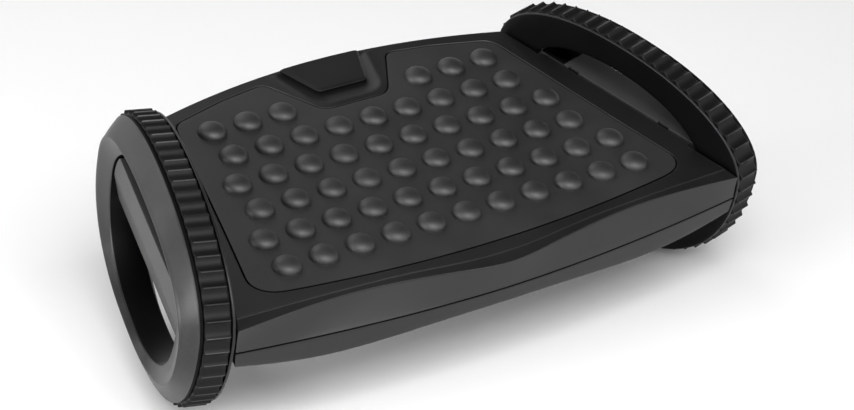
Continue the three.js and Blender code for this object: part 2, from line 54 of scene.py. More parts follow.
MAT_GAP = 1.1
TEETH = 58
PHASE = 0.585
BLOCK_IN = 3.4
BLOCK_W = 29.8
BLOCK_TOP = -0.6
BLOCK_BOTTOM = -43.2

ROT = np.array(Matrix.Rotation(TILT, 3, "X"))


def mesh_points(node):
    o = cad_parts[node]
    v = np.empty(len(o.data.vertices) * 3)
    o.data.vertices.foreach_get("co", v)
    return v.reshape(-1, 3) * 1000.0


_badge = mesh_points("badge_plate") @ ROT
OFFSET = ROT @ np.array([0.0, _badge[:, 1].max() - 4.26 * U, _badge[:, 2].min() + 2.1])


def to_row(v):
    return (np.asarray(v, float) @ ROT.T + OFFSET) * 0.001


def wheel_to_deck(s, p):
    p = np.asarray(p, float)
    a, c = TOE, CAMBER
    d = np.array([-s * math.sin(a), math.cos(a), 0])
    out = np.array([s * math.cos(a) * math.cos(c), math.sin(a) * math.cos(c), math.sin(c)])
    up = np.array([-s * math.cos(a) * math.sin(c), -math.sin(a) * math.sin(c), math.cos(c)])
    return np.array([s * HALF_WIDTH, 0, 0]) + p[..., :1] * d + p[..., 1:2] * up + p[..., 2:3] * out


# ---------------------------------------------------------------- mesh helpers
def make(name, verts, faces, sharp=38.0):
    """An object from deck-frame vertices in mm, its faces turned outwards."""
    me = bpy.data.meshes.new(name)
    me.from_pydata([tuple(v) for v in to_row(verts)], [], faces)
    bm = bmesh.new()
    bm.from_mesh(me)
    bmesh.ops.remove_doubles(bm, verts=bm.verts, dist=1e-6)
    bmesh.ops.dissolve_degenerate(bm, edges=bm.edges, dist=1e-7)
    bmesh.ops.recalc_face_normals(bm, faces=bm.faces)
    bm.to_mesh(me)
    bm.free()
    me.shade_smooth()
    me.set_sharp_from_angle(angle=math.radians(sharp))
    o = bpy.data.objects.new(name, me)
    bpy.context.collection.objects.link(o)
    return o


def loft(rings, wrap=False, caps=True):
    """Vertices and faces through rings of equal count, each ring closed."""
    rings = [np.asarray(r, float) for r in rings]
    n = len(rings[0])
    verts = np.vstack(rings)
    faces = []
    k = len(rings)
    for i in range(k if wrap else k - 1):
        a, b = i * n, ((i + 1) % k) * n
        for j in range(n):
            j2 = (j + 1) % n
            faces.append((a + j, a + j2, b + j2, b + j))
    if caps and not wrap:
        faces.append(tuple(range(n - 1, -1, -1)))
        faces.append(tuple((k - 1) * n + j for j in range(n)))
    return verts, faces


def merge(parts):
    verts, faces, base = [], [], 0
    for v, f in parts:
        verts.append(np.asarray(v, float))
        faces += [tuple(i + base for i in q) for q in f]
        base += len(v)
    return np.vstack(verts), faces


def spline(points):
    """A smooth even curve through (x, y) points for x >= 0, flat at 0."""
    xs = np.array([p[0] for p in points], float)
    ys = np.array([p[1] for p in points], float)
    n = len(xs)
    h = np.diff(xs)
    a = np.zeros((n, n))
    b = np.zeros(n)
    a[0, 0], a[0, 1] = 2 * h[0], h[0]
    b[0] = 3 * (ys[1] - ys[0])
    for i in range(1, n - 1):
        a[i, i - 1], a[i, i], a[i, i + 1] = h[i], 2 * (h[i - 1] + h[i]), h[i - 1]
        b[i] = 3 * (h[i] * (ys[i] - ys[i - 1]) / h[i - 1] + h[i - 1] * (ys[i + 1] - ys[i]) / h[i])
    a[n - 1, n - 2], a[n - 1, n - 1] = 1, 1
    b[n - 1] = 2 * (ys[n - 1] - ys[n - 2]) / h[n - 2]
    b[0] -= 0.0
    a[0] = 0
    a[0, 0] = 1
    b[0] = 0
    m = np.linalg.solve(a, b)

    def f(x):
        x = np.abs(np.asarray(x, float))
        x = np.clip(x, xs[0], xs[-1] * 1.05)
        i = np.clip(np.searchsorted(xs, x, side="right") - 1, 0, n - 2)
        t = (x - xs[i]) / h[i]
        h00, h10 = 2 * t**3 - 3 * t**2 + 1, t**3 - 2 * t**2 + t
        h01, h11 = -2 * t**3 + 3 * t**2, t**3 - t**2
        return h00 * ys[i] + h10 * h[i] * m[i] + h01 * ys[i + 1] + h11 * h[i] * m[i + 1]

    return f


def smooth01(t):
    t = np.clip(t, 0, 1)
    return t * t * (3 - 2 * t)


def resample(points, count, start=0.0):
    p = np.asarray(points, float)
    q = np.vstack([p, p[:1]])
    seg = np.hypot(*np.diff(q[:, :2], axis=0).T)
    acc = np.concatenate([[0], np.cumsum(seg)])
    s = ((np.arange(count) + start) / count % 1.0) * acc[-1]
    return np.column_stack([np.interp(s, acc, q[:, k]) for k in range(q.shape[1])])


def path_resample(points, count):
    """count points along an open polyline, ends included."""
    p = np.asarray(points, float)
    seg = np.hypot(*np.diff(p[:, :2], axis=0).T)
    acc = np.concatenate([[0], np.cumsum(seg)])
    s = np.linspace(0, acc[-1], count)
    return np.column_stack([np.interp(s, acc, p[:, k]) for k in range(p.shape[1])])


def offset(points, d):
    """A counter-clockwise outline moved outwards by d."""
    p = np.asarray(points, float)
    a, c = np.roll(p, 1, 0), np.roll(p, -1, 0)
    e1, e2 = p - a, c - p
    e1 /= np.linalg.norm(e1, axis=1)[:, None]
    e2 /= np.linalg.norm(e2, axis=1)[:, None]
    n1 = np.column_stack([e1[:, 1], -e1[:, 0]])
    n2 = np.column_stack([e2[:, 1], -e2[:, 0]])
    s = 1 + (n1 * n2).sum(1)
    d = np.asarray(d, float)
    d = d[:, None] if d.ndim else d
    return p + d * (n1 + n2) / s[:, None]


def rounded(points, radii, seg=8):
    n = len(points)
    out = []
    for i in range(n):
        a, b, c = (np.array(points[k % n], float) for k in (i - 1, i, i + 1))
        r = radii[i] if hasattr(radii, "__len__") else radii
        va, vc = a - b, c - b
        la, lc = np.linalg.norm(va), np.linalg.norm(vc)
        ang = math.acos(np.clip(va @ vc / (la * lc), -1, 1))
        t = min(r / math.tan(ang / 2), la * 0.48, lc * 0.48)
        p, q = b + va / la * t, b + vc / lc * t
        for k in range(seg + 1):
            w = k / seg
            out.append((1 - w) ** 2 * p + 2 * w * (1 - w) * b + w * w * q)
    return np.array(out)


# ---------------------------------------------------------------- deck outline curves
CREASE = spline([(x * U, y * U) for x, y in [(0, -4.22), (1.0, -4.17), (2.1, -4.03), (3.2, -3.92), (4.2, -3.86), (5.2, -3.81), (6.2, -3.78), (7.2, -3.74)]])
WAVE = spline([(x * U, y * U) for x, y in [(0, -4.58), (1.37, -4.39), (2.5, -4.2), (3.4, -4.08), (4.4, -4.02), (5.4, -4.03), (6.4, -4.08), (7.2, -4.12)]])
WAVE_DROP = spline([(x * U, d) for x, d in [(0, 1.3), (2.7, 1.0), (5.2, 1.0), (6.4, 1.4), (7.2, 2.2)]])
EDGE = spline([(x * U, z * U) for x, z in [(0, -1.2), (2, -1.25), (3.5, -1.35), (4.6, -1.39), (5.6, -1.35), (6.6, -1.24), (7.2, -1.15)]])


def part_y(x):
    return -4.69 * U + 0.59 * U * (np.abs(x) / (7.15 * U)) ** 1.8


def back_y(x):
    return 129 - 0.028 / U * np.asarray(x, float) ** 2


def end_x(y, w=-END_GAP):
    return HALF_WIDTH + w / math.cos(TOE) - math.tan(TOE) * np.asarray(y, float)


NF, NS = 220, 70
NB = (60, 34, 60, 34, 60)  # the back run's stretches, beside and round the badge plate


def corner(f, w):
    x = 200.0
    for _ in range(40):
        x = float(end_x(f(x), w))
    return x


def deck_ring(front, front_z, back_in=0.0, back_z=0.0, side_in=0.0, tongue=0.0):
    """A closed ring round the deck: front run, right side, back run, left side.

    tongue pushes the sides out between the wheels' rims, into the hand openings."""
    w = -END_GAP - side_in
    xf = corner(front, w)
    xb = corner(lambda x: back_y(x) - back_in, w)
    x = np.linspace(-xf, xf, NF)
    f = np.column_stack([x, front(x), front_z(x) if callable(front_z) else np.full(NF, front_z)])
    keys = [xb, 57.0, 24.0, -24.0, -57.0, -xb]
    bx = np.concatenate([np.linspace(a, b, n, endpoint=False) for a, b, n in zip(keys, keys[1:], NB)] + [[-xb]])
    b = np.column_stack([bx, back_y(bx) - back_in, np.full(len(bx), back_z)])
    y0, y1 = f[-1, 1], b[0, 1]
    stops = [y0, -77.6, -75.6, 65.8, 67.8, y1]
    ys = np.concatenate([np.linspace(a, c, n, endpoint=False) for a, c, n in zip(stops, stops[1:], (14, 4, 32, 4, 17))])[1:]
    t = (ys - y0) / (y1 - y0)
    zs = f[-1, 2] + (back_z - f[-1, 2]) * smooth01(t * 5)
    out = smooth01((ys + 77.6) / 2.0) * smooth01((67.8 - ys) / 2.0) * 3.3 * tongue
    out = out + smooth01((-80 - ys) / 35.0) * 1.2
    f[:, 0] *= (xf + 1.2 / math.cos(TOE) * smooth01((-80 - f[-1, 1]) / 35.0)) / xf
    right = np.column_stack([end_x(ys, w + out), ys, zs])
    left = right[::-1] * [-1, 1, 1]
    return np.vstack([f, right, b, left])


def ring_count():
    return NF + 2 * NS + sum(NB) + 1


# ---------------------------------------------------------------- the mat's outline
MAT_CORNERS = [(-6.2, -3.34), (6.2, -3.34), (4.66, 3.28), (3.1, 3.7), (1.83, 3.9),
               (0.95, 2.36), (-0.95, 2.36), (-1.83, 3.9), (-3.1, 3.7), (-4.66, 3.28)]
MAT_R = [20, 20, 14, 60, 10, 16, 16, 10, 60, 14]
MAT = rounded([(x * U, y * U) for x, y in MAT_CORNERS], MAT_R, 10)


def bowed(p):
    """The mat's front edge, bowed like the deck's."""
    q = np.array(p, float)
    k = smooth01((-2.45 * U - q[:, 1]) / (0.7 * U))
    q[:, 1] += k * (-0.45 + 0.0149 * (q[:, 0] / U) ** 2) * U
    side = smooth01((np.abs(q[:, 0]) / U - 4.0) / 1.2)
    q[:, 0] += np.sign(q[:, 0]) * side * (0.7 + 0.9 * smooth01((-q[:, 1] - 10) / 90.0))
    return q


def mat_loop(d):
    """The mat's outline moved out by d, sampled to match deck_ring's runs."""
    p = offset(MAT, d)
    per = 11
    mid = [i * per + per // 2 for i in range(10)]

    def run(i, j):
        if j <= i:
            return np.vstack([p[i:], p[: j + 1]])
        return p[i : j + 1]

    fr = path_resample(run(mid[0], mid[1]), NF)
    rt = path_resample(run(mid[1], mid[2]), NS + 2)[1:-1]
    back = []
    stops = [mid[2], mid[4], mid[5], mid[6], mid[7], mid[9]]
    for (i, j), n in zip(zip(stops, stops[1:]), NB):
        back.append(path_resample(run(i, j), n + 1)[:-1])
    back.append(p[mid[9]][None])
    lf = rt[::-1] * [-1, 1]
    return bowed(np.vstack([fr, rt] + back + [lf]))


# ---------------------------------------------------------------- the badge plate
def badge_outline(d, r=5.0, seg=10):
    p = [(-1.2, 4.26), (-0.7, 2.9), (0.7, 2.9), (1.2, 4.26)]
    q = rounded([(x * U, y * U) for x, y in p], [2.2, r, r, 2.2], seg)
    return offset(q, d)


def distance_to(poly, xy):
    """Signed distance from points to a closed polygon, negative inside."""
    p = np.asarray(poly, float)
    q = np.roll(p, -1, 0)
    best = np.full(len(xy), 1e9)
    inside = np.zeros(len(xy), bool)
    for a, b in zip(p, q):
        ab = b - a
        t = np.clip(((xy - a) @ ab) / (ab @ ab), 0, 1)
        dd = np.hypot(*(xy - a - t[:, None] * ab).T)
        best = np.minimum(best, dd)
        cond = (a[1] > xy[:, 1]) != (b[1] > xy[:, 1])
        with np.errstate(divide="ignore", invalid="ignore"):
            xi = a[0] + (xy[:, 1] - a[1]) / (b[1] - a[1]) * ab[0]
        inside ^= cond & (xy[:, 0] < xi)
    return np.where(inside, -best, best)


def top_height(xy):
    """The deck's top round the badge plate: a shallow trough that rises to the mat's edge."""
    big = rounded([(-1.46 * U, 5.6 * U), (-0.74 * U, 2.84 * U), (0.74 * U, 2.84 * U), (1.46 * U, 5.6 * U)], [2, 9, 9, 2], 8)
    d = distance_to(big, xy)
    z = -1.5 * (1 - smooth01((d + 1.5) / 10.5))
    z += 0.3 * np.exp(-(((d - 9.0) / 3.2) ** 2))
    return z


# ---------------------------------------------------------------- top shell
def top_shell():
    rings = []
    z0 = PART_Z
    front = lambda t: (lambda x: part_y(x) + (WAVE(x) - part_y(x)) * t)
    fz = lambda t, dz=0.0: (lambda x: z0 + (-WAVE_DROP(x) - z0) * t + dz)
    # up the walls
    rings.append(deck_ring(lambda x: part_y(x) + 0.8, z0, 0.8, z0, 0.8))
    rings.append(deck_ring(lambda x: part_y(x) + 0.15, z0 + 0.12, 0.12, z0 + 0.12, 0.12))
    rings.append(deck_ring(part_y, z0 + 0.4, 0.0, z0 + 0.4, 0.0))
    for t in (0.08, 0.16, 0.24, 0.32, 0.4, 0.48, 0.52, 0.6, 0.68, 0.76, 0.84, 0.92, 0.97):
        # the fascia is slightly hollow between the wave and the parting line
        hollow = 1.1 * math.sin(math.pi * t)
        tongue = 0.0 if t < 0.5 else 1.0
        rings.append(deck_ring(lambda x, t=t, h=hollow: front(t)(x) + h * np.exp(-(((np.abs(x) - 150) / 60) ** 2)), fz(t), 0.0,
                               z0 + (-0.8 - z0) * t, 0.1 * t, tongue))
    # round the wave edge, a crisp one
    r, rb = 0.5, 0.7
    for k in range(5):
        a = k / 4 * math.pi / 2
        dy, dz = r * (1 - math.cos(a)), -r * (1 - math.sin(a))
        by, bz = rb * (1 - math.cos(a)), -rb * (1 - math.sin(a))
        rings.append(deck_ring(lambda x, d=dy: WAVE(x) + d, fz(1.0, dz), by, bz, 0.1 + 0.6 * (1 - math.cos(a)), 1.0))
    # across the band to the crease
    for t in (0.08, 0.25, 0.45, 0.65, 0.82, 0.93):
        rings.append(deck_ring(
            lambda x, t=t: WAVE(x) + r + (CREASE(x) - 0.9 - WAVE(x) - r) * t,
            lambda x, t=t: -WAVE_DROP(x) * (1 - t) ** 1.1 - 0.42 * t, 0.7 + 1.2 * t, 0.0, 0.7 + 1.0 * t, 1.0))
    # the crease: a fine raised line where the band meets the flat top
    for dy, z in ((-0.5, -0.2), (-0.15, 0.04), (0.2, 0.13), (0.65, 0.09), (1.4, 0.0)):
        rings.append(deck_ring(lambda x, d=dy: CREASE(x) + d, z, 2.4 + dy * 0.2, 0.0, 2.1 + dy * 0.2, 1.0))
    outer = rings[-1]
    rim = mat_loop(MAT_GAP)
    rim3 = np.column_stack([rim, np.zeros(len(rim))])
    for t in np.linspace(0, 1, 44)[1:]:
        q = outer + (rim3 - outer) * t
        q[:, 2] = outer[:, 2] * (1 - t)
        z = top_height(q[:, :2])
        q[:, 2] += z * smooth01(t * 12)
        if t > 0.985:
            q[:, 2] -= 0.2
        rings.append(q)
    rim_in = mat_loop(MAT_GAP - 0.2)
    last = rings[-1]
    rings.append(np.column_stack([rim_in, last[:, 2] - 0.3]))
    rings.append(np.column_stack([rim_in, np.full(len(rim_in), -MAT_T + 0.1)]))
    return make("top_shell_form", *loft(rings), sharp=32)


# ---------------------------------------------------------------- bottom shell
SCREWS = [(s * x, y) for x, y in ((168, -88), (56, -108), (48, 62), (128, 82), (180.06, -58.93), (154.99, 42)) for s in (-1, 1)]


def with_wells(o, sharp):
    """The lower shell with a stepped well under each screw."""
    a = np.arange(28) * 2 * math.pi / 28
    parts = [loft([np.column_stack([x + r * np.cos(a), y + r * np.sin(a), np.full(28, FLOOR_Z + dz)])
                   for r, dz in ((5.5, -0.6), (5.0, 0.0), (4.75, 0.18), (4.6, 0.5), (4.5, 3.7), (4.2, 3.95))]) for x, y in SCREWS]
    wells = make("wells", *merge(parts))
    m = o.modifiers.new("wells", "BOOLEAN")
    m.operation, m.solver, m.object = "DIFFERENCE", "EXACT", wells
    me = bpy.data.meshes.new_from_object(o.evaluated_get(bpy.context.evaluated_depsgraph_get()))
    o.modifiers.clear()
    o.data = me
    bpy.data.objects.remove(wells)
    me.set_sharp_from_angle(angle=math.radians(sharp))
    for face in me.polygons:
        if abs(((np.array(face.center) * 1000.0 - OFFSET) @ ROT)[2] - FLOOR_Z) < 0.01:
            face.use_smooth = False
    return o


def bottom_shell():
    z0 = PART_Z - 1.3
    rings = []
    # from the underside's flat, round the lower edge, up to the parting line
    inner = deck_ring(lambda x: part_y(x) + 22, FLOOR_Z, 18, FLOOR_Z, 8)
    rings.append(inner)
    edge = lambda x: EDGE(x)
    low = deck_ring(lambda x: part_y(x) + 3.0, lambda x: edge(x) - 0.0, 3.0, EDGE(140) + 4, 2.6)
    for t in (0.08, 0.2, 0.35, 0.5, 0.65, 0.8, 0.92):
        q = inner + (low - inner) * t
        q[:, 2] = inner[:, 2] + (low[:, 2] - inner[:, 2]) * smooth01(t)
        rings.append(q)
    rings.append(low)
    rings.append(deck_ring(lambda x: part_y(x) + 1.7, lambda x: edge(x) + 0.25, 1.9, EDGE(140) + 4.2, 1.5))
    rings.append(deck_ring(lambda x: part_y(x) + 0.95, lambda x: edge(x) + 0.95, 1.2, EDGE(140) + 5.0, 0.9))
    rings.append(deck_ring(lambda x: part_y(x) + 0.7, lambda x: edge(x) + 2.0, 0.9, EDGE(140) + 6.0, 0.7))
    for t in (0.3, 0.6, 0.9):
        rings.append(deck_ring(lambda x, t=t: part_y(x) + 0.7 * (1 - t), lambda x, t=t: edge(x) + 2 + (z0 - 0.5 - edge(x) - 2) * t,
                               0.9 * (1 - t), EDGE(140) + 6 + (z0 - 0.5 - EDGE(140) - 6) * t, 0.7 * (1 - t)))
    rings.append(deck_ring(part_y, z0 - 0.45, 0.0, z0 - 0.45, 0.0))
    rings.append(deck_ring(lambda x: part_y(x) + 0.25, z0 - 0.1, 0.25, z0 - 0.1, 0.25))
    rings.append(deck_ring(lambda x: part_y(x) + 0.9, z0, 0.9, z0, 0.9))
    rings.insert(0, deck_ring(lambda x: part_y(x) + 23.5, FLOOR_Z, 19.5, FLOOR_Z, 9.5))
    return with_wells(make("bottom_shell_form", *loft(rings), sharp=40), 40)


def seam_filler():
    """The tongue inside the parting line, which keeps the gap dark."""
    a = deck_ring(lambda x: part_y(x) + 1.6, PART_Z - 1.45, 1.6, PART_Z - 1.45, 1.6)
    b = deck_ring(lambda x: part_y(x) + 1.6, PART_Z + 0.2, 1.6, PART_Z + 0.2, 1.6)
    return make("parting_tongue", *loft([a, b]), sharp=30)


# ---------------------------------------------------------------- mat and domes
DOME_ROWS = [(-4, -3, -2, 2, 3, 4), tuple(range(-4, 5)), tuple(i + 0.5 for i in range(-5, 5)),
             tuple(i + 0.5 for i in range(-5, 5)), tuple(range(-5, 6)), tuple(range(-5, 6))]
DOME_R = 10.9
DOME_H = 6.9
DOME_N = 2.25


def dome(x, y):
    """A full round dome that meets the mat in a small fillet."""
    prof = []
    for t in np.linspace(0, 1, 17)[1:]:
        a = t * math.pi / 2
        rr = DOME_R * math.sin(a) ** (2 / DOME_N)
        zz = DOME_H * max(math.cos(a), 0.0) ** (2 / DOME_N)
        prof.append((rr, zz))
    prof[-1] = (DOME_R + 0.02, 0.25)
    prof += [(DOME_R + 0.1, 0.0), (DOME_R + 0.1, -0.8)]
    n = 44
    ang = np.arange(n) * 2 * math.pi / n
    rings = [np.column_stack([x + r * np.cos(ang), y + r * np.sin(ang), np.full(n, z)]) for r, z in prof[::-1]]
    v, f = loft(rings, caps=False)
    top = len(v)
    v = np.vstack([v, [[x, y, DOME_H]]])
    b = (len(rings) - 1) * n
    f += [(b + j, b + (j + 1) % n, top) for j in range(n)]
    f.append(tuple(range(n - 1, -1, -1)))
    return v, f


def massage_mat():
    pts = bowed(resample(MAT, 900))
    rings = [np.column_stack([offset(pts, -0.1), np.full(900, -MAT_T + 0.3)]),
             np.column_stack([pts, np.full(900, -1.0)])]
    for k in range(5):
        a = k / 4 * math.pi / 2
        rings.append(np.column_stack([offset(pts, -0.4 * (1 - math.cos(a))), np.full(900, -0.55 + 0.4 * math.sin(a))]))
    rings.append(np.column_stack([offset(pts, -1.6), np.full(900, -0.08)]))
    rings.append(np.column_stack([offset(pts, -3.2), np.zeros(900)]))
    base = loft(rings)
    parts = [base]
    for r, xs in enumerate(DOME_ROWS):
        for k in xs:
            parts.append(dome(k * U, (2.5 - r) * ROW))
    v, f = merge(parts)
    return make("massage_mat_form", v, f, sharp=50)


# ---------------------------------------------------------------- badge plate
def badge_plate():
    def level(d, z, r):
        yf, yb = 2.99 * U + d, 4.26 * U - max(0.0, d) * 0.12
        side = lambda y: 0.7 * U + 0.3676 * (y - 2.9 * U) - 1.0654 * d
        p = [(-side(yb), yb), (-side(yf), yf), (side(yf), yf), (side(yb), yb)]
        o = rounded(p, [1.2, r, r, 1.2], 12)
        o = path_resample(np.vstack([o, o[:1]]), 241)[:-1]
        # the back edge is bowed like the deck's
        k = smooth01((o[:, 1] - 3.0 * U) / (1.2 * U))
        o[:, 1] -= k * (0.028 / U) * o[:, 0] ** 2
        return np.column_stack([o, np.full(len(o), z)])

    rings = [level(d, z, r) for d, z, r in (
        (0.2, -2.1, 6.0), (0.2, -1.3, 6.0), (0.35, -1.05, 5.9), (0.75, -0.95, 5.6), (0.9, -0.75, 5.4), (0.92, 1.15, 5.3), (1.0, 1.42, 5.2),
        (1.25, 1.62, 5.0), (2.5, 2.0, 4.0), (2.8, 2.1, 3.9), (3.4, 2.13, 3.7), (6.0, 2.14, 3.0))]
    return make("badge_plate_form", *loft(rings), sharp=30)


# ---------------------------------------------------------------- wheels
def superellipse(uc, vc, a, bt, bb, phi, nt, nb, egg=0.0, count=720):
    t = np.arange(count) * 2 * math.pi / count
    c, s = np.cos(t), np.sin(t)
    n = np.where(s > 0, nt, nb)
    with np.errstate(divide="ignore"):
        r = (np.abs(c) ** n + np.abs(s) ** n) ** (-1 / n)
    x = a * r * c
    y = np.where(s > 0, bt, bb) * r * s * (1 + egg * x / a)
    return np.column_stack([uc + x * math.cos(phi) - y * math.sin(phi), vc + x * math.sin(phi) + y * math.cos(phi)])


def scaled(*a):
    return [v * U for v in a]


COUNT = 720
RIM = superellipse(*scaled(-0.218, -0.427, 4.044, 1.962, 3.556), 0.017, 2.157, 2.223, 0.01)
RIDGE = superellipse(*scaled(-0.196, -0.758, 3.713, 1.549, 2.276), 0.017, 2.466, 2.4)
OPENING = superellipse(*scaled(-0.162, -0.805, 2.98, 1.6, 2.196), 0.017, 2.126, 2.295)
RIDGE_W = 1.22 * U
LIP_DROP = 0.18 * U
HOOP_W = 21.6


def crest_w(v):
    return RIDGE_W - 0.019 * (v + 0.74 * U)


def dish(v):
    """The hoop's inner face, dished towards the opening's lower edge."""
    return 8.6 * smooth01((-np.asarray(v, float) - 18) / 54)


def at(points, w):
    return np.column_stack([points, w(points[:, 1]) if callable(w) else np.full(len(points), w)])


def blend(p, q, t):
    return p + (q - p) * t


def wheel_piece(name, s, rings, sharp=38, wrap=True, caps=False):
    return make(name, *loft([wheel_to_deck(s, r) for r in rings], wrap=wrap, caps=caps), sharp=sharp)


def hoop(s, side):
    f = []
    # outer flange with a rounded edge
    for d, w in ((-1.5, 0.0), (-0.75, 0.05), (-0.3, 0.3), (-0.1, 0.75), (-0.1, 1.7), (-0.3, 2.1), (-0.8, 2.3), (-1.8, 2.3)):
        f.append(at(offset(RIM, d), w))
    f.append(at(offset(RIM, -3.2), 2.35))
    f.append(at(offset(RIM, -3.2), HOOP_W))
    f.append(at(offset(RIM, -6.0), HOOP_W))
    f.append(at(offset(RIM, -6.0), 3.6))
    f.append(at(offset(OPENING, 2.8), lambda v: 3.6 + dish(v)))
    f.append(at(offset(OPENING, 2.8), HOOP_W))
    f.append(at(OPENING, HOOP_W))
    f.append(at(OPENING, lambda v: 1.2 + dish(v)))
    f.append(at(offset(OPENING, 0.12), lambda v: 0.6 + dish(v)))
    f.append(at(offset(OPENING, 0.5), lambda v: 0.18 + dish(v)))
    f.append(at(offset(OPENING, 1.1), lambda v: 0.03 + 0.98 * dish(v)))
    # the inner face, from the opening to the flange
    start = offset(OPENING, 1.1)
    for t in (0.15, 0.35, 0.55, 0.75, 0.92):
        q = blend(start, offset(RIM, -1.5), t)
        f.append(np.column_stack([q, 0.98 * dish(start[:, 1]) * (1 - smooth01(t))]))
    return wheel_piece(f"{side}_wheel_hoop_form", s, f)


def tyre(s, side):
    per = 26
    n = TEETH * per
    rim = superellipse(*scaled(-0.218, -0.427, 4.044, 1.962, 3.556), 0.017, 2.157, 2.223, 0.01, 4 * n)
    base = resample(rim, n, PHASE * per)
    # concave flutes between narrow rounded ridges
    p = ((np.arange(n) % per) / per - 0.45) % 1.0
    e = np.minimum(p, 1 - p) * 2  # 0 on a ridge, 1 in the middle of a flute
    lo, hi = -1.1, 2.7
    flute = hi - (hi - lo) * (1 - (1 - e) ** 2) ** 0.62
    ridge = np.minimum(flute, hi - 0.28 * smooth01(1 - e * 7))
    full = np.where(e < 0.14, np.minimum(ridge, hi - 0.12), flute)
    rings = []
    w0, w1 = 3.3, 21.7
    rings.append(at(offset(base, -3.1), w0))
    for w, k in ((w0, 0.25), (w0 + 0.1, 0.6), (w0 + 0.35, 0.83), (w0 + 0.8, 0.95), (w0 + 1.5, 1.0),
                 (w0 + 6.0, 1.0), (w1 - 6.0, 1.0), (w1 - 1.5, 1.0), (w1 - 0.8, 0.96), (w1 - 0.35, 0.86), (w1 - 0.1, 0.66), (w1, 0.3)):
        d = -1.6 + (full + 1.6) * k
        rings.append(at(offset(base, d), w))
    rings.append(at(offset(base, -3.1), w1))
    return wheel_piece(f"{side}_tyre_form", s, rings, sharp=60)


def trim_ring(s, side):
    base = HOOP_W + 0.3
    f = [at(offset(RIM, -3.6), base), at(offset(RIM, -2.1), base), at(offset(RIM, -2.0), base + 0.1), at(offset(RIM, -1.9), base + 0.45),
         at(offset(RIM, -1.8), base + 0.6), at(offset(RIM, -1.65), base + 0.75), at(offset(RIM, -1.6), base + 1.0),
         at(offset(RIM, -1.65), base + 2.9), at(offset(RIM, -1.75), base + 3.3), at(offset(RIM, -1.95), base + 3.65)]
    start = offset(RIM, -1.95)
    # the bevel, a little crowned, up to the crest
    w0 = base + 3.65
    for t in np.linspace(0.06, 0.9, 12):
        q = blend(start, RIDGE, t)
        w = w0 + (crest_w(q[:, 1]) - 0.25 - w0) * (t + 0.05 * math.sin(math.pi * t))
        f.append(np.column_stack([q, w]))
    for t, d in ((0.95, 0.42), (0.985, 0.16), (1.0, 0.05)):
        q = blend(start, RIDGE, t)
        f.append(np.column_stack([q, crest_w(q[:, 1]) - d]))
    # over the crest and down the lip to the opening, never thinner than 2 mm behind the crest
    gap = np.linalg.norm(RIDGE - OPENING, axis=1)
    inner = OPENING + (OPENING - RIDGE) / gap[:, None] * 0.0
    for t, d in ((0.05, 0.02), (0.12, 0.2), (0.22, 0.7)):
        q = blend(RIDGE, inner, t)
        f.append(np.column_stack([q, crest_w(q[:, 1]) - d]))
    for t in (0.4, 0.6, 0.8, 0.93):
        q = blend(RIDGE, inner, t)
        f.append(np.column_stack([q, crest_w(q[:, 1]) - 0.7 - (LIP_DROP - 0.7) * (t - 0.22) / 0.78]))
    f.append(at(offset(OPENING, 0.3), lambda v: crest_w(v) - LIP_DROP))
    f.append(at(offset(OPENING, 0.06), lambda v: crest_w(v) - LIP_DROP - 0.25))
    f.append(at(OPENING, lambda v: crest_w(v) - LIP_DROP - 0.7))
    f.append(at(OPENING, base - 0.28))
    f.append(at(offset(OPENING, 2.4), base - 0.28))
    f.append(at(offset(OPENING, 2.4), lambda v: crest_w(v) - LIP_DROP - 2.6))
    q = blend(RIDGE, OPENING, 0.2)
    f.append(np.column_stack([q, crest_w(q[:, 1]) - 3.4]))
    f.append(at(offset(RIM, -4.2), base + 2.6))
    f.append(at(offset(RIM, -4.2), base))
    return wheel_piece(f"{side}_trim_ring_form", s, f, sharp=30)


# ---------------------------------------------------------------- end blocks
CATCHES = (-50.0, 40.5)
CATCH_HALF = 5.2
POCKET = (-76.0, 66.0)
RECESS = (50.0, 71.6)  # a deep recess in the block's top, at its rear end


def block_edge():
    """u of the block's back and front ends against v, from the hand opening's outline."""
    o = offset(superellipse(*scaled(-0.162, -0.805, 2.98, 1.6, 2.196), 0.017, 2.126, 2.295, 0, 2400), -1.6)
    back = o[o[:, 0] > 0]
    front = o[o[:, 0] < -9]
    back = back[np.argsort(back[:, 1])]
    front = front[np.argsort(front[:, 1])]
    return (lambda v: np.interp(v, back[:, 1], back[:, 0])), (lambda v: np.interp(v, front[:, 1], front[:, 0]))


